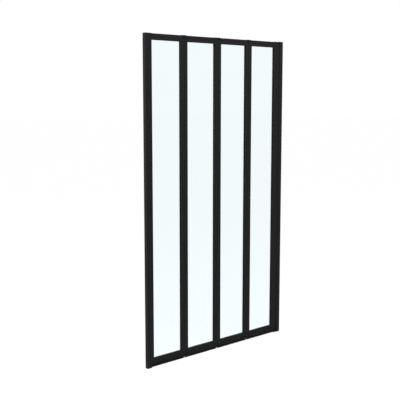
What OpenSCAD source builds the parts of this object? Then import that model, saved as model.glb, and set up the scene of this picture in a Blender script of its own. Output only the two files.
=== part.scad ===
// Folding bath screen: a wall channel and hinge post carry four framed glass leaves,
// joined by corner pivots so that they fold one in front of the other.
// It is drawn open and flat. +X points to the wall, +Y into the room behind the screen, +Z up.
// The origin is at the middle wall-fixing hole, on the face that lies against the wall, halfway through
// the depth of the frames.

/* [Screen] */
// Height of the wall channel's top, with its cap, above the bath rim
screen_h = 1400; // [1000:10:1600]
// Leaf 1, next to the wall, from hinge line to hinge line
leaf_1_w = 187; // [120:1:260]
// Leaf 2, from hinge line to hinge line
leaf_2_w = 191; // [120:1:260]
// Leaf 3, from hinge line to hinge line
leaf_3_w = 195; // [120:1:260]
// Leaf 4, from its hinge line to the free end
leaf_4_w = 207; // [130:1:270]
// Height of the leaf frames' lower edge above the bath rim
leaf_base = 15; // [12:0.5:25]
// How far the leaf frames end below the top of the channel
leaf_drop = 2; // [1:0.5:8]

/* [Leaf frames] */
// Depth of every frame profile, front face to back face
frame_d = 17; // [17:0.5:24]
// Face width of a stile beside a hinge
stile_w = 19; // [18.5:0.5:26]
// Face width of the stile at the free end
end_stile_w = 34; // [24:0.5:40]
// Face height of the top and bottom rails
rail_h = 25.5; // [24.5:0.5:30]
// Wall of the profiles
wall_t = 1.4; // [1:0.1:1.8]
// Wall of a stile along its hinge edge
edge_t = 2.4; // [2:0.1:2.6]
// Radius of the profiles' outer corners
corner_r = 0.8; // [0.4:0.1:1.2]
// Gap between neighbouring stiles at the hinge line
seam = 0.6; // [0.4:0.1:1]

/* [Glass and gasket] */
// Thickness of the glass
glass_t = 4; // [3:1:5]
// How far the glass reaches into the frame on each side
glass_bite = 7.5; // [5:0.5:8]
// Depth of the glazing groove
groove_d = 9.5; // [9:0.5:10]
// Thickness of the gasket beside and behind the glass
gasket_t = 1.2; // [0.8:0.1:1.3]
// How far the gasket's lip shows past the frame
gasket_show = 0.5; // [0.2:0.1:1.5]
// Depth of the straight lip behind the glass, before the frame's back edge is splayed
bead_lip = 1; // [0.6:0.2:2]

/* [Wall channel and post] */
// How far the channel stands off the wall
channel_w = 22; // [20:1:40]
// Height of the lower ends of the channel and the post above the bath rim
channel_clear = 0.8; // [0:0.2:4]
// Wall of the channel's flanges
channel_t = 1.8; // [1.2:0.1:2.5]
// Wall of the channel's web, which lies against the wall
web_t = 2; // [1.5:0.5:3]
// Room between the post and each flange
post_slack = 0.2; // [0.1:0.05:0.4]
// Width of the post that shows beside the channel
post_show = 16.5; // [16.5:0.5:24]
// Length of the post that is tucked into the channel
post_tuck = 15; // [10:1:17]
// Thickness of the cap on top of the channel
channel_cap_t = 1.6; // [1:0.2:3]
// Radius of the wall-fixing holes
wall_hole_r = 2.6; // [2:0.1:3.5]
// Distance between neighbouring wall-fixing holes
wall_hole_step = 600; // [300:10:680]
// Distance between neighbouring post-fixing screws
post_screw_step = 500; // [200:10:650]

/* [Pivots] */
// Distance of each pivot axis outside the face that it folds towards
axis_out = 0.5; // [0.4:0.1:1]
// Radius of a pivot pin
pin_r = 2; // [1.5:0.1:2.2]
// Radial clearance of a pin in its bush
pin_play = 0.05; // [0.03:0.01:0.08]
// Wall of a bush
bush_t = 1; // [0.6:0.1:1.1]
// Radius of a bush's flange
flange_r = 4.2; // [3.8:0.1:4.3]
// Outer radius of a pin's eye
eye_r = 4.5; // [4.4:0.1:4.8]
// How far an arm reaches on each side of the hinge line
arm_reach = 14.5; // [12:0.5:16]
// Thickness of an arm
arm_t = 4; // [3.5:0.1:4.5]
// How far the upper arms stand above the leaf frames
arm_rise = 1.2; // [0.8:0.1:1.5]
// How far an arm is set back from the faces of the frame
arm_set = 1; // [0.5:0.1:1.5]
// Height between an arm and the ear that carries its pin
arm_gap = 4.5; // [3:0.1:4.8]
// Thickness of an ear
ear_t = 5; // [4:0.5:5]
// Length of the spigots that hold arms and ears in the stiles
spigot_l = 24; // [18:1:40]
// Clearance of a spigot in its stile
fit_gap = 0.1; // [0.05:0.05:0.2]
// Clearance between pieces that move past each other
run_gap = 0.3; // [0.2:0.1:0.4]

/* [Screws] */
// Radius of the screws' threads, and of the ports that they cut into
screw_r = 1.9; // [1.5:0.1:2]
// Radius of the screws' heads
screw_head_r = 3.2; // [2.8:0.1:3.3]
// Height of the screws' heads
screw_head_t = 2.2; // [1.8:0.1:2.4]
// Radius of the driver holes in the stiles' edges
driver_hole_r = 3.6; // [3.4:0.1:3.7]
// Length of a corner screw under its head
corner_screw_l = 30; // [24:1:40]
// Length of a screw in the post under its head
post_screw_l = 8; // [7:1:12]

/* [Seals] */
// Height of the bottom seals' front lips above the bath rim
seal_clear = 1.6; // [1:0.2:5]
// How much higher the back lips end than the front lips
seal_back_rise = 2; // [0:0.2:4]
// How far the bottom seals are set back from the faces of the frame
seal_set = 4; // [1:0.5:4.5]
// Thickness of the bottom seals' lips
seal_lip_t = 1.6; // [1:0.2:2.4]
// Thickness of the bottom seals' web, against the rail
seal_web_t = 3; // [2:0.5:4]
// Distance between a seal's end and the hinge line
seal_end = 2; // [1:0.2:3]
// Width of the fin seals in the hinge seams
fin_w = 2.8; // [2:0.2:3.6]
// Depth of the fin seals' grooves
fin_d = 1.2; // [0.8:0.1:1.4]

/* [Free end] */
// Thickness of the cap on the free end's stile
end_cap_t = 1.1; // [0.8:0.1:2]
// Width of the foot under the free end
foot_w = 23; // [16:1:24]
// Depth of the plugs of the cap and the foot in the stile
end_plug_d = 5; // [3:0.5:6]

/* [Hidden] */
$fn = 48;
cut = 1;                            // overrun of cuts past the faces that they open
LEAVES = [1:4];
leaf_w = [leaf_1_w, leaf_2_w, leaf_3_w, leaf_4_w];
last_leaf = len(leaf_w);

// Distance of hinge n from the wall. Leaf n hangs on hinge n.
function hinge_at(n) = n == 1 ? channel_w + post_show : hinge_at(n - 1) + leaf_w[n - 2];
// The odd hinges fold towards the back and the even ones towards the front.
function folds_back(n) = n % 2 == 1;
// Face width of the stile on the free side of leaf n
function free_stile_w(n) = n == last_leaf ? end_stile_w : stile_w;
// Distance from leaf n's hinge line to the outer edge of its free side
function leaf_edge(n) = leaf_w[n - 1] - (n == last_leaf ? 0 : seam / 2);

leaf_top = screen_h - leaf_drop;
leaf_h = leaf_top - leaf_base;
centre_y = frame_d / 2;
upper_seat = leaf_top + arm_rise - arm_t;   // underside of the upper arms
lower_seat = leaf_base;                     // upper side of the lower arms
groove_w = glass_t + 2 * gasket_t;
groove_y = centre_y - groove_w / 2;
splay_y = groove_y + groove_w + bead_lip;   // depth at which the splay starts
chamber_w = stile_w - edge_t - groove_d - wall_t;
port_h = rail_h - groove_d - wall_t - screw_r;  // screw ports, from a rail's outer edge
port_wall = 1.4;
seal_slot_w = 4;
seal_slot_head_w = 8;
seal_slot_head_h = 2.4;
seal_slot_floor = wall_t + seal_slot_head_h + 1.2;
post_w = post_show + post_tuck - seam / 2;
post_top = screen_h - channel_cap_t;
post_screw_at = channel_w - post_tuck / 2;
axis_y = -axis_out;
bush_r = pin_r + pin_play + bush_t;
ear_neck_w = 3.5;
spigot_w = chamber_w - 2 * fit_gap;
spigot_x = seam / 2 + edge_t + fit_gap;
counterbore = screw_head_t + 0.4;
screw_seat = spigot_x + counterbore;
ZONE = arm_reach + 2 * run_gap;             // length of the cut-outs around an arm
seal_lip_top = arm_t + 2 * run_gap;         // the lips end this far under the seat beside an arm
fin_end = spigot_l + 6;
channel_plug_h = 8;

black = [0.13, 0.13, 0.14];
soft_black = [0.08, 0.08, 0.08];
steel = [0.72, 0.72, 0.74];
nylon = [0.2, 0.2, 0.21];
clear_glass = [0.85, 0.95, 0.97, 0.35];

LEAF_PARTS = ["wall_side_stile", "free_side_stile", "top_rail", "bottom_rail",
              "glass", "glazing_gasket", "bottom_seal", "corner_screws"];
HINGE_PARTS = ["pivot_arms", "pivot_blocks", "pins", "bushes", "fin_seal"];

// ---- Frames of reference ----

// Everything is drawn at its distance x from the wall, its depth y behind the frames' front faces and its
// height z above the bath rim.
// This turns it to the part's own frame, where the wall is at the right and the middle hole at the origin.
module on_wall() translate([0, -centre_y, -screen_h / 2]) mirror([1, 0, 0]) children();

module at_leaf(n) translate([hinge_at(n), 0, 0]) children();

// Mirrors front to back where condition holds
module front_to_back(condition)
    translate([0, condition ? frame_d : 0, 0]) mirror([0, condition ? 1 : 0, 0]) children();

// At hinge n, with the pivot axis at the front
module at_hinge(n) at_leaf(n) front_to_back(folds_back(n)) children();

// The upper and the lower end of a hinge: z = 0 is the arm's inner side and z > 0 leads out
module at_both_ends() {
    translate([0, 0, upper_seat]) children();
    translate([0, 0, lower_seat]) mirror([0, 0, 1]) children();
}

// Puts what is drawn along +Z at the screw heights of a leaf, pointing along +X
module at_screw_heights()
    for (z = [leaf_base + port_h, leaf_top - port_h])
        translate([0, centre_y, z]) rotate([0, 90, 0]) children();

// ---- Shapes shared by several pieces ----

module rounded(w, d, r) {
    translate([r, 0]) square([w - 2 * r, d]);
    translate([0, r]) square([w, d - 2 * r]);
    for (x = [r, w - r], y = [r, d - r]) translate([x, y]) circle(r);
}

module screw(length) {
    translate([0, 0, -screw_head_t]) cylinder(r = screw_head_r, h = screw_head_t);
    cylinder(r = screw_r, h = length);
}

// Section of a glazing profile, seen along its length: outer edge at x = 0, glass side at x = w.
// It is hollow beside and before the groove, and the bead behind the glass is solid.
module glazing_section(w, outer_t) {
    difference() {
        rounded(w, frame_d, corner_r);
        translate([w - groove_d, groove_y]) square([groove_d + cut, groove_w]);
        difference() {
            translate([outer_t, wall_t]) square([w - outer_t - wall_t, frame_d - 2 * wall_t]);
            translate([w - groove_d - wall_t, groove_y - wall_t])
                square([groove_d + wall_t, frame_d]);
        }
    }
}

// ---- Cut-outs that the pivots need, drawn at a hinge's end ----

// Room in the neighbour's stile for the arm to swing over its ear
module swing_room(beyond)
    translate([-ZONE, -cut, -arm_gap]) cube([ZONE + cut, frame_d + 2 * cut, arm_gap + beyond]);

// Outline of an ear, from the axis into the stile of the neighbour
module ear_outline(grow = 0) {
    translate([0, axis_y]) circle(eye_r + grow);
    translate([-spigot_x - spigot_w, wall_t + fit_gap]) square([spigot_x + spigot_w, ear_neck_w + grow]);
}

module ear_slot()
    translate([0, 0, -arm_gap - ear_t - fit_gap]) linear_extrude(ear_t + fit_gap + cut) ear_outline(fit_gap);

// Room in a leaf's own stile for the neighbour's ear
module ear_room()
    translate([0, axis_y, -arm_gap - ear_t - run_gap])
        cylinder(r = eye_r + run_gap, h = arm_gap + ear_t + run_gap + cut);

// Seat of an arm in its own stile
module arm_seat()
    translate([-cut, -cut, 0]) cube([arm_reach + fit_gap + cut, frame_d + 2 * cut, arm_t + cut]);

// ---- Wall side ----

module wall_channel() color(black) on_wall() difference() {
    width = frame_d + 2 * (post_slack + channel_t);
    translate([0, centre_y - width / 2, channel_clear]) difference() {
        cube([channel_w, width, post_top - channel_clear]);
        translate([web_t, channel_t, -cut]) cube([channel_w, width - 2 * channel_t, post_top + 2 * cut]);
    }
    for (i = [-1:1]) {
        translate([-cut, centre_y, screen_h / 2 + i * wall_hole_step])
            rotate([0, 90, 0]) cylinder(r = wall_hole_r, h = web_t + 2 * cut);
        translate([post_screw_at, frame_d, screen_h / 2 + i * post_screw_step])
            rotate([-90, 0, 0]) cylinder(r = screw_r + fit_gap, h = channel_t + post_slack + cut);
    }
}

module channel_cap() color(black) on_wall() {
    width = frame_d + 2 * (post_slack + channel_t);
    plug_w = channel_w - post_tuck - web_t - 2 * fit_gap;
    translate([0, centre_y - width / 2, post_top])
        linear_extrude(channel_cap_t) rounded(channel_w, width, corner_r);
    translate([web_t + fit_gap, fit_gap, post_top - channel_plug_h])
        cube([plug_w, frame_d - 2 * fit_gap, channel_plug_h]);
}

module post_section() difference() {
    rounded(post_w, frame_d, corner_r);
    translate([edge_t, wall_t]) square([chamber_w, frame_d - 2 * wall_t]);
    rear_x = edge_t + chamber_w + wall_t;
    translate([rear_x, wall_t]) square([post_w - rear_x - wall_t, frame_d - 2 * wall_t]);
}

module hinge_post() color(black) on_wall() difference() {
    translate([channel_w + post_show - seam / 2, 0, channel_clear]) mirror([1, 0, 0])
        linear_extrude(post_top - channel_clear) post_section();
    at_hinge(1) {
        translate([0, 0, upper_seat]) swing_room(screen_h);
        translate([0, 0, lower_seat]) mirror([0, 0, 1]) swing_room(arm_t + 2 * run_gap);
        at_both_ends() ear_slot();
    }
    at_leaf(1) mirror([1, 0, 0]) at_screw_heights() {
        cylinder(r = driver_hole_r, h = seam / 2 + edge_t + cut);
        cylinder(r = screw_r, h = post_w / 2);
    }
    for (i = [-1:1]) translate([post_screw_at, centre_y, screen_h / 2 + i * post_screw_step])
        rotate([-90, 0, 0]) cylinder(r = screw_r, h = frame_d);
}

module post_fixing_screws() color(steel) on_wall()
    for (i = [-1:1])
        translate([post_screw_at, frame_d + post_slack + channel_t, screen_h / 2 + i * post_screw_step])
            rotate([90, 0, 0]) screw(post_screw_l);

module post_pivot_screws() color(steel) on_wall()
    at_leaf(1) mirror([1, 0, 0]) at_screw_heights() translate([0, 0, screw_seat]) screw(post_screw_l);

// ---- Leaves ----

// Removes what the corner screws pass through in a stile, with the stile's outer edge at x = 0
module stile_screw_holes(w, outer_t) at_screw_heights() {
    translate([0, 0, -cut]) cylinder(r = driver_hole_r, h = outer_t + 2 * cut);
    cylinder(r = screw_r, h = w);
}

module wall_side_stile(n) color(black) on_wall() difference() {
    at_leaf(n) translate([seam / 2, 0, 0]) difference() {
        translate([0, 0, leaf_base]) linear_extrude(leaf_h) difference() {
            glazing_section(stile_w, edge_t);
            translate([-cut, centre_y - fin_w / 2]) square([fin_d + cut, fin_w]);
        }
        stile_screw_holes(stile_w, edge_t);
    }
    at_hinge(n) at_both_ends() {
        arm_seat();
        ear_room();
    }
    splay(n);
}

module free_side_stile(n) color(black) on_wall() difference() {
    w = free_stile_w(n);
    outer_t = n == last_leaf ? wall_t : edge_t;
    at_leaf(n) translate([leaf_edge(n), 0, 0]) mirror([1, 0, 0]) difference() {
        translate([0, 0, leaf_base]) linear_extrude(leaf_h) glazing_section(w, outer_t);
        stile_screw_holes(w, outer_t);
    }
    if (n < last_leaf) at_hinge(n + 1) at_both_ends() {
        swing_room(2 * arm_t);
        ear_slot();
    }
    splay(n);
}

// Ends of leaf n's rails, from its hinge line
function rail_start(n) = seam / 2 + stile_w;
function rail_end(n) = leaf_edge(n) - free_stile_w(n);

// A band from one edge of an opening to the other, widening at 45 degrees towards the back
module splay_outline(from, to) {
    run = frame_d - splay_y + cut;
    polygon([[from, splay_y], [to, splay_y], [to + run, splay_y + run], [from - run, splay_y + run]]);
}

// What the splay takes off the back edges round leaf n's opening, mitred at the corners
module splay(n) at_leaf(n) intersection() {
    linear_extrude(screen_h) splay_outline(rail_start(n), rail_end(n));
    along_leaf(0, leaf_w[n - 1]) splay_outline(leaf_base + rail_h, leaf_top - rail_h);
}

// Section of a rail with its outer edge at x = 0, as it runs between the stiles
module rail_section(seal_slot) {
    difference() {
        union() {
            glazing_section(rail_h, seal_slot ? seal_slot_floor : wall_t);
            translate([port_h, centre_y]) circle(screw_r + port_wall);
        }
        translate([port_h, centre_y]) circle(screw_r);
        if (seal_slot) {
            translate([-cut, centre_y - seal_slot_w / 2]) square([wall_t + 2 * cut, seal_slot_w]);
            translate([wall_t, centre_y - seal_slot_head_w / 2]) square([seal_slot_head_h, seal_slot_head_w]);
        }
    }
}

// Runs a section along a leaf from x0 to x1: the section's x becomes the height
module along_leaf(x0, x1)
    translate([x0, 0, 0]) rotate([0, -90, 0]) mirror([0, 0, 1]) linear_extrude(x1 - x0) children();

module bottom_rail(n) color(black) on_wall() difference() {
    at_leaf(n) translate([0, 0, leaf_base])
        along_leaf(rail_start(n), rail_end(n)) rail_section(true);
    splay(n);
}

module top_rail(n) color(black) on_wall() difference() {
    at_leaf(n) translate([0, 0, leaf_top]) mirror([0, 0, 1])
        along_leaf(rail_start(n), rail_end(n)) rail_section(false);
    splay(n);
}

// A block between leaf n's stiles and rails that reaches past their inner edges by reach, of thickness t
module pane(n, reach, t)
    translate([rail_start(n) - reach, centre_y - t / 2, leaf_base + rail_h - reach])
        cube([rail_end(n) - rail_start(n) + 2 * reach, t, leaf_h - 2 * rail_h + 2 * reach]);

module glass(n) color(clear_glass) on_wall() at_leaf(n) pane(n, glass_bite, glass_t);

module glazing_gasket(n) color(soft_black) on_wall() at_leaf(n) difference() {
    pane(n, glass_bite + gasket_t, groove_w);
    pane(n, glass_bite, glass_t);
    pane(n, -gasket_show, 2 * groove_w);
}

module corner_screws(n) color(steel) on_wall() at_leaf(n) {
    at_screw_heights() translate([0, 0, screw_seat]) screw(corner_screw_l);
    seat = n == last_leaf ? end_stile_w - groove_d - wall_t : screw_seat - seam / 2;
    translate([leaf_edge(n) - seat, 0, 0]) mirror([1, 0, 0]) at_screw_heights() screw(corner_screw_l);
}

// The bottom seal hangs in the rail's slot and runs on under the stiles, with a long lip in front and a
// shorter one behind.
// Beside an arm only the lower part of the lips goes on.
module bottom_seal(n) color(soft_black) on_wall() at_leaf(n) translate([0, 0, leaf_base]) {
    last = n == last_leaf;
    x1 = last ? leaf_w[n - 1] - foot_w - seal_end : leaf_w[n - 1] - seal_end;
    lip_h = leaf_base - seal_clear;
    difference() {
        translate([seal_end, seal_set, -lip_h]) cube([x1 - seal_end, frame_d - 2 * seal_set, lip_h]);
        translate([0, seal_set + seal_lip_t, -lip_h - cut])
            cube([leaf_w[n - 1], frame_d - 2 * (seal_set + seal_lip_t), lip_h + cut - seal_web_t]);
        translate([0, centre_y, -lip_h - cut]) cube([leaf_w[n - 1], frame_d, cut + seal_back_rise]);
        translate([-ZONE, 0, -seal_lip_top]) cube([2 * ZONE, frame_d, seal_lip_top + cut]);
        if (!last)
            translate([leaf_w[n - 1] - ZONE, 0, -seal_lip_top]) cube([ZONE, frame_d, seal_lip_top + cut]);
    }
    neck = seal_slot_w - 2 * run_gap;
    head = seal_slot_head_w - 2 * run_gap;
    x0 = rail_start(n);
    length = rail_end(n) - x0;
    translate([x0, centre_y - neck / 2, 0]) cube([length, neck, wall_t + run_gap]);
    translate([x0, centre_y - head / 2, wall_t + run_gap])
        cube([length, head, seal_slot_head_h - 2 * run_gap]);
}

// ---- Hinges ----

// Room for a screw and its head in a spigot, from the hinge line outwards
module spigot_screw_hole() at_screw_heights() {
    cylinder(r = screw_head_r + fit_gap, h = screw_seat);
    cylinder(r = screw_r, h = 2 * stile_w);
}

module spigot(height) translate([spigot_x, wall_t + fit_gap, -spigot_l])
    cube([spigot_w, frame_d - 2 * (wall_t + fit_gap), height]);

module arm_outline() {
    translate([-arm_reach, arm_set]) rounded(2 * arm_reach, frame_d - 2 * arm_set, 2 * corner_r);
    translate([0, axis_y]) circle(eye_r);
    translate([-eye_r, axis_y]) square([2 * eye_r, arm_set + 2 * corner_r - axis_y]);
}

module pivot_arms(n) color(black) on_wall() difference() {
    at_hinge(n) at_both_ends() difference() {
        union() {
            linear_extrude(arm_t) arm_outline();
            difference() {
                spigot(spigot_l);
                ear_room();
            }
        }
        translate([0, axis_y, -cut]) cylinder(r = pin_r, h = arm_t + 2 * cut);
    }
    at_leaf(n) spigot_screw_hole();
}

module pivot_blocks(n) color(black) on_wall() difference() {
    at_hinge(n) at_both_ends() difference() {
        union() {
            translate([0, 0, -arm_gap - ear_t]) linear_extrude(ear_t) ear_outline();
            translate([0, 0, -arm_gap]) mirror([1, 0, 0]) spigot(spigot_l);
        }
        translate([0, axis_y, -arm_gap - ear_t - cut]) cylinder(r = bush_r, h = ear_t + 2 * cut);
    }
    at_leaf(n) mirror([1, 0, 0]) spigot_screw_hole();
}

module pins(n) color(steel) on_wall() at_hinge(n) at_both_ends()
    translate([0, axis_y, -arm_gap - ear_t]) cylinder(r = pin_r, h = ear_t + arm_gap + arm_t);

module bushes(n) color(nylon) on_wall() at_hinge(n) at_both_ends() translate([0, axis_y, -arm_gap - ear_t])
    difference() {
        union() {
            cylinder(r = bush_r, h = ear_t);
            translate([0, 0, ear_t]) cylinder(r = flange_r, h = arm_gap - run_gap);
        }
        translate([0, 0, -cut]) cylinder(r = pin_r + pin_play, h = ear_t + arm_gap + 2 * cut);
    }

module fin_seal(n) color(soft_black) on_wall() at_leaf(n)
    translate([0, centre_y - fin_w / 2, leaf_base + fin_end])
        cube([seam / 2 + fin_d, fin_w, leaf_h - 2 * fin_end]);

// ---- Free end ----

// A plug in the chamber of the end stile, from the leaf's outer edge inwards
module end_plug(h) {
    w = end_stile_w - groove_d - 2 * wall_t - 2 * fit_gap;
    translate([-wall_t - fit_gap - w, wall_t + fit_gap, 0]) cube([w, frame_d - 2 * (wall_t + fit_gap), h]);
}

// Draws from the outer edge of the last leaf, at a height z
module at_free_end(z) on_wall() at_leaf(last_leaf) translate([leaf_w[last_leaf - 1], 0, z]) children();

module free_end_cap() color(black) at_free_end(leaf_top) {
    linear_extrude(end_cap_t) translate([-end_stile_w, 0]) rounded(end_stile_w, frame_d, corner_r);
    translate([0, 0, -end_plug_d]) end_plug(end_plug_d);
}

module free_end_foot() color(soft_black) at_free_end(0) {
    linear_extrude(leaf_base) translate([-foot_w, 0]) rounded(foot_w, frame_d, corner_r);
    translate([0, 0, leaf_base]) end_plug(end_plug_d);
}

module free_end_plugs() color(black) at_free_end(0) mirror([1, 0, 0]) at_screw_heights()
    cylinder(r = driver_hole_r, h = wall_t);

// ---- The parts ----

wall_channel();
channel_cap();
hinge_post();
post_fixing_screws();
post_pivot_screws();
for (n = LEAVES) {
    wall_side_stile(n);
    free_side_stile(n);
    top_rail(n);
    bottom_rail(n);
    glass(n);
    glazing_gasket(n);
    bottom_seal(n);
    corner_screws(n);
    pivot_arms(n);
    pivot_blocks(n);
    pins(n);
    bushes(n);
    fin_seal(n);
}
free_end_cap();
free_end_foot();
free_end_plugs();
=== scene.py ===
import math

import bmesh
import bpy
from mathutils import Matrix, Vector


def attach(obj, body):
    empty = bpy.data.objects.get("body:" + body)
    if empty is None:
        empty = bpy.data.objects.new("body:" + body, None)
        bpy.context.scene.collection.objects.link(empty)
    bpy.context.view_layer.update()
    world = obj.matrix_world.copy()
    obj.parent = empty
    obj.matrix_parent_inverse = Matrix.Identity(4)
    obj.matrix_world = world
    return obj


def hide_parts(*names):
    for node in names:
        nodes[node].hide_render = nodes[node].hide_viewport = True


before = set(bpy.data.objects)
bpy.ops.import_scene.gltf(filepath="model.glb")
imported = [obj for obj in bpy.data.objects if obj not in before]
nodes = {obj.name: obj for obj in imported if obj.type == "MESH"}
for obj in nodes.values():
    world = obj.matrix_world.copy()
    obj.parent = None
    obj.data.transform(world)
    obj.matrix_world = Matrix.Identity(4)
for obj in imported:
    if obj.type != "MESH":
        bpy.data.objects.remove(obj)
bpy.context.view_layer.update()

# ---- Extruded profiles: wall channel, hinge post, stiles and rails ----
# Thin-walled aluminium bars, sawn square to length and powder coated matt black. The coat has a
# fine orange peel and a little drift in its gloss.


class Wire:
    """An output in a node tree. Arithmetic on wires adds the Math nodes for it."""

    def __init__(self, tree, socket=None):
        self.tree, self.socket = tree, socket

    def node(self, kind, settings, inputs, output=0):
        """Adds a node. inputs maps a socket's name or number to a value or a wire."""
        made = self.tree.nodes.new(kind)
        for key, value in settings.items():
            setattr(made, key, value)
        for key, value in inputs.items():
            if isinstance(value, Wire):
                self.tree.links.new(value.socket, made.inputs[key])
            else:
                made.inputs[key].default_value = value
        return Wire(self.tree, made.outputs[output])

    def beside(self, output):
        """Another output of the node that this wire comes from."""
        return Wire(self.tree, self.socket.node.outputs[output])

    def math(self, operation, a, b=0.0):
        return self.node("ShaderNodeMath", {"operation": operation}, {0: a, 1: b})

    def __add__(self, other):
        return self.math("ADD", self, other)

    def __rsub__(self, other):
        return self.math("SUBTRACT", other, self)

    def __mul__(self, other):
        return self.math("MULTIPLY", self, other)

    __radd__, __rmul__ = __add__, __mul__

    def between(self, colour, other):
        """One colour where this wire is 0, running over to the other where it is 1."""
        a, b = (end if isinstance(end, Wire) else (*end, 1) for end in (colour, other))
        return self.node("ShaderNodeMix", {"data_type": "RGBA"}, {0: self, 6: a, 7: b}, 2)

    def stretched(self, x, y, z):
        """This place, in metres, with each direction stretched by its own factor."""
        return self.node("ShaderNodeVectorMath", {"operation": "MULTIPLY"}, {0: self, 1: (x, y, z)})

    def noise(self, scale, detail=2.0):
        """Cloudy noise from 0 to 1 over this place, scale being the lumps in a metre."""
        return self.node(
            "ShaderNodeTexNoise", {}, {"Vector": self, "Scale": scale, "Detail": detail}
        )

    def relief(self, depth, strength=1.0):
        """The normal of a surface that this wire raises, by depth in metres where it is 1."""
        return self.node(
            "ShaderNodeBump", {}, {"Strength": strength, "Distance": depth, "Height": self}
        )

    def into(self, shader, name):
        self.tree.links.new(self.socket, shader.inputs[name])


def finish(name, plain):
    """Starts a material, and gives it, its shader with these values and the place on the piece."""
    made = bpy.data.materials.new(name)
    made.use_nodes = True
    shader = made.node_tree.nodes["Principled BSDF"]
    for socket, value in plain.items():
        shader.inputs[socket].default_value = value
    return made, shader, Wire(made.node_tree).node("ShaderNodeTexCoord", {}, {}, "Object")


SAME_PLACE = 1e-6  # metres within which the corners of a CAD node's faces are one point
FLAT_DEG, SHARP_DEG = 0.5, 40  # faces within the first are one flat, and past the second an edge


def dress(names, material, broken_edge=0.0):
    """Gives CAD nodes a material, and breaks their sharp edges by this width in metres."""
    for name in names:
        piece = nodes[name]
        for slot in piece.material_slots:
            slot.link, slot.material = "OBJECT", material
        if broken_edge:
            weld = piece.modifiers.new("weld", "WELD")
            weld.merge_threshold = SAME_PLACE
            flats = piece.modifiers.new("flats", "DECIMATE")
            flats.decimate_type, flats.angle_limit = "DISSOLVE", math.radians(FLAT_DEG)
            edges = piece.modifiers.new("edges", "BEVEL")
            edges.width, edges.segments, edges.use_clamp_overlap = broken_edge, 2, False
            edges.limit_method, edges.angle_limit = "ANGLE", math.radians(SHARP_DEG)
            edges.miter_outer = "MITER_ARC"


coat, skin, place = finish("black powder coat", {"Specular IOR Level": 0.04})
peel = place.noise(1600.0, 3.0)
drift = place.noise(40.0)
drift.between((0.0108, 0.0108, 0.0110), (0.0124, 0.0124, 0.0126)).into(skin, "Base Color")
(0.48 + drift * 0.12 + peel * 0.06).into(skin, "Roughness")
peel.relief(0.00003, 0.6).into(skin, "Normal")

LEAVES = range(1, 5)  # counted from the wall, each hung on the hinge of its own number
dress(["wall_channel", "hinge_post"], coat)
for bar in ("wall_side_stile", "free_side_stile", "top_rail", "bottom_rail"):
    dress([f"leaf_{leaf}_{bar}" for leaf in LEAVES], coat)

# ---- Glass ----
# A 4 mm pane of clear toughened glass in each leaf, with ground edges inside the gasket. It is
# faintly blue-green, deeper where the eye looks along the ground edge.
pane, clear, place = finish(
    "clear toughened glass",
    {"Transmission Weight": 1.0, "IOR": 1.5, "Specular IOR Level": 0.5},
)


def shine_out(material, share, first, second):
    """Mixes two shaders into a material's output, with this share of the second."""
    mixed = share.node("ShaderNodeMixShader", {}, {0: share, 1: first, 2: second})
    mixed.into(material.node_tree.nodes["Material Output"], "Surface")


across = place.node("ShaderNodeSeparateXYZ", {}, {0: place.beside("Normal")}, 1)
edge = 1.0 - across.math("ABSOLUTE", across)
waves = place.noise(6.0)
tint = waves.between((0.882, 0.955, 0.975), (0.892, 0.960, 0.979))
edge.between(tint, (0.45, 0.78, 0.72)).into(clear, "Base Color")
(edge * 0.45 + place.noise(3.0) * 0.01).into(clear, "Roughness")
through = Wire(pane.node_tree).node(
    "ShaderNodeBsdfTransparent", {}, {"Color": (0.86, 0.93, 0.94, 1)}
)
shade = through.node("ShaderNodeLightPath", {}, {}, "Is Shadow Ray")
shine_out(pane, shade, Wire(pane.node_tree, clear.outputs[0]), through)
dress([f"leaf_{leaf}_glass" for leaf in LEAVES], pane)

# ---- Rubber: glazing gaskets and bottom seals ----
# The gaskets are wedged between glass and profile, and the two-lipped seals are slid into the
# bottom rails. Both are extruded, so fine lines run along them, and both are dull black.
rubber, hide, place = finish("black rubber", {"Specular IOR Level": 0.06})
lines = place.stretched(0.02, 1.0, 0.02).noise(9000.0, 1.0)
bloom = place.noise(60.0, 4.0)
bloom.between((0.0065, 0.0065, 0.0068), (0.0098, 0.0098, 0.0098)).into(hide, "Base Color")
(0.66 + bloom * 0.16 + lines * 0.05).into(hide, "Roughness")
(lines + place.noise(2500.0)).relief(0.00002, 0.6).into(hide, "Normal")
dress([f"leaf_{leaf}_glazing_gasket" for leaf in LEAVES], rubber)
dress([f"leaf_{leaf}_bottom_seal" for leaf in LEAVES], rubber, 0.0003)

# ---- Fin seals ----
# Strips of upright pile on a woven back, pressed into a groove in each leaf's wall-side stile. The
# pile is crowned, in rows a third of a millimetre apart, and its tips all but brush the neighbour's
# edge, so that the seam is closed.

# In metres: the back's thickness, its bare edge on each side of the pile, how far the tips reach
# past the hinge line, and how much shorter the pile is at its sides
BACK_T, BARE_EDGE, TIPS_OUT, CROWN = 0.0004, 0.00025, 0.00025, 0.0001
CROWN_STEPS = 6

pile, tufts, place = finish("black pile", {"Specular IOR Level": 0.1, "Sheen Weight": 0.3})
rows = place.stretched(0.15, 1.0, 1.0).noise(3200.0, 2.0)
rows.between((0.0050, 0.0050, 0.0055), (0.0130, 0.0130, 0.0135)).into(tufts, "Base Color")
(0.78 + rows * 0.18).into(tufts, "Roughness")
rows.relief(0.0002).into(tufts, "Normal")


def box_of(points):
    """The lowest and the highest corner of the box round some points."""
    return Vector(map(min, *points)), Vector(map(max, *points))


def join_rings(mesh, rings):
    """Closes a run of rings of vertices, each with as many as the next, to one solid."""
    for ring, following in zip(rings, rings[1:]):
        for side in range(len(ring)):
            beside = (side + 1) % len(ring)
            mesh.faces.new((ring[side], ring[beside], following[beside], following[side]))
    mesh.faces.new(rings[0][::-1])
    mesh.faces.new(rings[-1])


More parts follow.
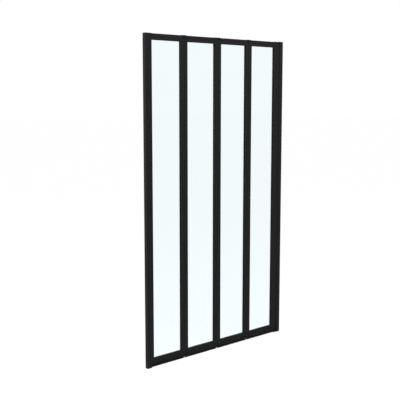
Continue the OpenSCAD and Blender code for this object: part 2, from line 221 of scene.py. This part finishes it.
def show_instead(node, name, body, mesh, material):
    """Shows a finer piece in place of a CAD node. It rides on the node's body."""
    bmesh.ops.recalc_face_normals(mesh, faces=mesh.faces)
    made = bpy.data.objects.new(name, bpy.data.meshes.new(name))
    mesh.to_mesh(made.data)
    mesh.free()
    bpy.context.scene.collection.objects.link(made)
    made.data.materials.append(material)
    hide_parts(node)
    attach(made, body)
    return made


for hinge in LEAVES:
    node = f"hinge_{hinge}_fin_seal"
    low, high = box_of([vertex.co for vertex in nodes[node].data.vertices])
    back = low.x + BACK_T
    outline = [(back, low.y + BARE_EDGE), (back, low.y), (low.x, low.y)]
    outline += [(low.x, high.y), (back, high.y), (back, high.y - BARE_EDGE)]
    for step in range(CROWN_STEPS + 1):
        off_middle = 1 - 2 * step / CROWN_STEPS
        half = (high.y - low.y) / 2 - BARE_EDGE
        tip = high.x + TIPS_OUT - CROWN * off_middle**2
        outline.append((tip, (low.y + high.y) / 2 + half * off_middle))
    mesh = bmesh.new()
    join_rings(mesh, [[mesh.verts.new((x, y, z)) for x, y in outline] for z in (low.z, high.z)])
    show_instead(node, f"hinge_{hinge}_pile_seal", f"leaf_{hinge}", mesh, pile)

# ---- Pivot arms and blocks ----
# Die-cast light alloy, tumbled so that every edge is soft, then coated with the profiles' black.
# The coat lies a little rougher over the casting's skin.
cast, skin, place = finish("black coated casting", {"Specular IOR Level": 0.06})
skin_of_cast = place.noise(900.0, 4.0)
cloud = place.noise(120.0)
cloud.between((0.0098, 0.0098, 0.0102), (0.0124, 0.0124, 0.0128)).into(skin, "Base Color")
(0.50 + cloud * 0.10 + skin_of_cast * 0.08).into(skin, "Roughness")
skin_of_cast.relief(0.00006, 0.7).into(skin, "Normal")
for hinge in LEAVES:
    dress([f"hinge_{hinge}_pivot_arms", f"hinge_{hinge}_pivot_blocks"], cast, 0.0004)

# ---- Pivot pins and bushes ----
# Each pin is ground stainless rod, cut and chamfered, and pressed into its arm's eye. It turns in
# a flanged bush of black nylon, whose flange has faint turning marks.
ground_steel, rod, place = finish("ground stainless steel", {"Metallic": 1.0})
strokes = place.stretched(1.0, 1.0, 12.0).noise(700.0, 3.0)
strokes.between((0.50, 0.50, 0.51), (0.62, 0.62, 0.63)).into(rod, "Base Color")
(0.26 + strokes * 0.16).into(rod, "Roughness")
strokes.relief(0.00001, 0.5).into(rod, "Normal")
nylon, moulding, place = finish("black nylon", {"Specular IOR Level": 0.1})
grain = place.noise(1800.0, 3.0)
grain.between((0.0095, 0.0095, 0.0099), (0.0125, 0.0125, 0.0129)).into(moulding, "Base Color")
(0.40 + grain * 0.14).into(moulding, "Roughness")
grain.relief(0.00002, 0.5).into(moulding, "Normal")
for hinge in LEAVES:
    dress([f"hinge_{hinge}_pins"], ground_steel, 0.00025)
    dress([f"hinge_{hinge}_bushes"], nylon, 0.0002)

# ---- Screws ----
# Cross-head self-tapping screws of stainless steel. The long ones join stiles, spigots and rails at
# the leaves' corners, and the short ones hold the post and its pivot blocks.

MM = 0.001
# In millimetres: the thread, with the length over which the tip tapers, and the head
THREAD_R, CORE_R, PITCH, TIP = 1.88, 1.42, 1.4, 2.2
HEAD_R, HEAD_T = 3.2, 2.2
# The head's side, as its radius at each depth under its top
HEAD_SIDE = ((1.95, 0.14), (2.5, 0.38), (2.95, 0.85), (HEAD_R, 1.5), (HEAD_R, 2.05), (3.08, HEAD_T))
# The cross: half the length and half the width of its arms, and the depths of its mouth and floor
CROSS, CROSS_W, CROSS_MOUTH, CROSS_D = 1.75, 0.42, 0.12, 1.25
CROSS_TAPER, TIP_TAPER = 0.6, 0.25  # shares of the full size that are left at the floor and the tip
FLANK = 1.7  # steepness of the thread's flanks: over 1, they leave some core bare between the turns
SIDES, RINGS_A_TURN = 32, 4
SMOOTH_DEG = 38  # faces that meet at less than this shade as one

plated, shank, place = finish("stainless screw", {"Metallic": 1.0})
marks = place.noise(2600.0, 3.0)
marks.between((0.46, 0.46, 0.47), (0.60, 0.60, 0.61)).into(shank, "Base Color")
(0.30 + marks * 0.20).into(shank, "Roughness")
marks.relief(0.00001, 0.4).into(shank, "Normal")


def screw_rings(length):
    """Rings of points in mm, from the cross to the tip, with the head's bearing face at z = 0."""
    turns = [2 * math.pi * side / SIDES for side in range(SIDES)]

    def ring(z, radius):
        return [(radius(t) * math.cos(t), radius(t) * math.sin(t), z) for t in turns]

    def cross(scale):
        def radius(t):
            never_0 = 1e-9
            c, s = abs(math.cos(t)) + never_0, abs(math.sin(t)) + never_0
            arms = [min(CROSS / c, CROSS_W / s), min(CROSS_W / c, CROSS / s)]
            return scale * max(arms)
        return radius

    rings = [ring(CROSS_D - HEAD_T, cross(CROSS_TAPER)), ring(CROSS_MOUTH - HEAD_T, cross(1.0))]
    for r, depth in HEAD_SIDE:
        rings.append(ring(depth - HEAD_T, lambda t, r=r: r))
    steps = round(length / PITCH * RINGS_A_TURN)
    for step in range(steps + 1):
        z = length * step / steps
        slim = min(1.0, TIP_TAPER + (1 - TIP_TAPER) * (length - z) / TIP)

        def radius(t, z=z, slim=slim):
            phase = (z / PITCH - t / (2 * math.pi)) % 1.0
            crest = max(0.0, 1.0 - abs(2.0 * phase - 1.0) * FLANK)
            return slim * (CORE_R + (THREAD_R - CORE_R) * crest)

        rings.append(ring(z, radius))
    return rings


def screw_seats(node):
    """Each screw of a CAD node, in metres: its bearing face's centre, its direction, its length."""
    solid = bmesh.new()
    solid.from_mesh(nodes[node].data)
    bmesh.ops.remove_doubles(solid, verts=solid.verts, dist=SAME_PLACE)
    left, seats = set(solid.verts), []
    while left:
        screw, edge = [], [left.pop()]
        while edge:
            vert = edge.pop()
            screw.append(vert.co)
            near = {e.other_vert(vert) for e in vert.link_edges} & left
            left -= near
            edge += near
        low, high = box_of(screw)
        axis = max(range(3), key=lambda a: high[a] - low[a])
        middle = (low + high) / 2

        def off_axis(p):
            away = p - middle
            away[axis] = 0
            return away.length

        clear_of_shank = (HEAD_R + THREAD_R) / 2 * MM
        head = [p[axis] for p in screw if off_axis(p) > clear_of_shank]
        down = Vector((0, 0, 0))
        down[axis] = 1 if sum(head) / len(head) < middle[axis] else -1
        seat, tip = (max(head), high[axis]) if down[axis] > 0 else (min(head), low[axis])
        middle[axis] = seat
        seats.append((middle, down, abs(tip - seat)))
    solid.free()
    # The set of vertices gives up the screws in another order each run, so they go by their place
    return sorted(seats, key=lambda seat: tuple(seat[0]))


def make_screws(node, name, body):
    """Puts a threaded screw in the place of each plain one in the CAD node."""
    mesh = bmesh.new()
    for seat, down, length in screw_seats(node):
        turn = down.to_track_quat("Z", "Y").to_matrix().to_4x4()
        set_down = Matrix.Translation(seat) @ turn @ Matrix.Scale(MM, 4)
        rings = screw_rings(length / MM)
        join_rings(mesh, [[mesh.verts.new(set_down @ Vector(p)) for p in ring] for ring in rings])
    made = show_instead(node, name, body, mesh, plated)
    made.data.shade_smooth()
    made.data.set_sharp_from_angle(angle=math.radians(SMOOTH_DEG))


for leaf in LEAVES:
    make_screws(f"leaf_{leaf}_corner_screws", f"leaf_{leaf}_threaded_corner_screws", f"leaf_{leaf}")
make_screws("post_fixing_screws", "threaded_post_fixing_screws", "wall_frame")
make_screws("post_pivot_screws", "threaded_post_pivot_screws", "wall_frame")

# ---- Moulded pieces: channel cap, end cap, foot and blanking plugs ----
# Injection-moulded black plastic, pushed into the open ends of the profiles. The mould's spark
# finish leaves a fine even grain, and the visible edges are rounded.
moulded, shell, place = finish("moulded black plastic", {"Specular IOR Level": 0.08})
spark = place.noise(2200.0, 4.0)
flow = place.noise(70.0)
flow.between((0.0108, 0.0108, 0.0112), (0.0130, 0.0130, 0.0134)).into(shell, "Base Color")
(0.44 + flow * 0.08 + spark * 0.10).into(shell, "Roughness")
spark.relief(0.00002, 0.6).into(shell, "Normal")
dress(["channel_cap", "free_end_cap", "free_end_foot"], moulded, 0.0004)
dress(["free_end_plugs"], moulded)

# ---- Studio ----
# A pale floor at the height of the bath's rim, an even white surround, one soft high light and two
# soft boxes: one beyond the free end for its end face, and one beside the wall that lifts the top
# of the frames.
RIM = -0.700
FAR = 40.0  # from the middle to the floor's edges, in metres
FLOOR_GLOW, GLOW_SHARE = 1.03, 0.92  # the floor's own white; what it leaves takes the shadow
FILL = 0.3  # the surround's strength as a light, where 1 is the white that is seen
LEAVES_MIDDLE = -0.41


def lamp(name, kind, place, aim, settings):
    """A soft light at a place, aimed at a point, in metres."""
    light = bpy.data.lights.new(name, kind)
    for key, value in settings.items():
        setattr(light, key, value)
    made = bpy.data.objects.new(name, light)
    made.location = place
    made.rotation_euler = (Vector(aim) - Vector(place)).to_track_quat("-Z", "Y").to_euler()
    bpy.context.scene.collection.objects.link(made)


def looked_at(tree):
    """1 where a surface is seen, mirrored or through glass too, and 0 where it only lights."""
    eye = Wire(tree).node("ShaderNodeLightPath", {}, {}, "Is Camera Ray")
    eye_or_mirror = eye.math("MAXIMUM", eye, eye.beside("Is Glossy Ray"))
    return eye.math("MAXIMUM", eye_or_mirror, eye.beside("Is Transmission Ray"))


floor = bpy.data.objects.new("floor", bpy.data.meshes.new("floor"))
corners = [(-FAR, -FAR, RIM), (FAR, -FAR, RIM), (FAR, FAR, RIM), (-FAR, FAR, RIM)]
floor.data.from_pydata(corners, [], [(0, 1, 2, 3)])
bpy.context.scene.collection.objects.link(floor)
pale, paper, place = finish("pale floor", {"Specular IOR Level": 0.0, "Roughness": 0.9})
place.noise(2.0).between((0.89, 0.89, 0.89), (0.91, 0.91, 0.91)).into(paper, "Base Color")
lit = Wire(pale.node_tree, paper.outputs[0])
even = lit.node("ShaderNodeEmission", {}, {"Strength": FLOOR_GLOW})
shine_out(pale, looked_at(pale.node_tree) * GLOW_SHARE, lit, even)
floor.data.materials.append(pale)

world = bpy.data.worlds.new("studio")
bpy.context.scene.world = world
world.use_nodes = True
sky = world.node_tree.nodes["Background"]
sky.inputs["Color"].default_value = (1, 1, 1, 1)
(FILL + looked_at(world.node_tree) * (1 - FILL)).into(sky, "Strength")

high_light = {"energy": 1.2, "angle": math.radians(70)}
upright_box = {"energy": 34, "shape": "RECTANGLE", "size": 0.8, "size_y": 1.2}
lying_box = {"energy": 36, "shape": "RECTANGLE", "size": 1.2, "size_y": 0.8}
lamp("high soft light", "SUN", (-1.5, -1.0, 3.0), (LEAVES_MIDDLE, 0, 0), high_light)
lamp("box beyond the free end", "AREA", (-2.2, 0.3, 0.7), (-0.8, 0, 0.2), upright_box)
lamp("box beside the wall", "AREA", (0.3, -1.6, 1.7), (LEAVES_MIDDLE, 0, 0.6), lying_box)

# ---- Camera ----
# It stands to the left of the free end and a little above the middle, looking slightly down, with
# a long lens and nothing shifted.
LOOKS_DOWN_DEG, TURNED_DEG = 7.42, 41.942

camera = bpy.data.objects.new("camera", bpy.data.cameras.new("camera"))
camera.data.lens, camera.data.sensor_width, camera.data.clip_end = 69.86, 36.0, 200.0
camera.location = (-2.7716, -2.5117, 0.4349)
camera.rotation_euler = (math.radians(90 - LOOKS_DOWN_DEG), 0, math.radians(-TURNED_DEG))
bpy.context.scene.collection.objects.link(camera)
bpy.context.scene.camera = camera

scene = bpy.context.scene
scene.view_settings.view_transform = "Standard"
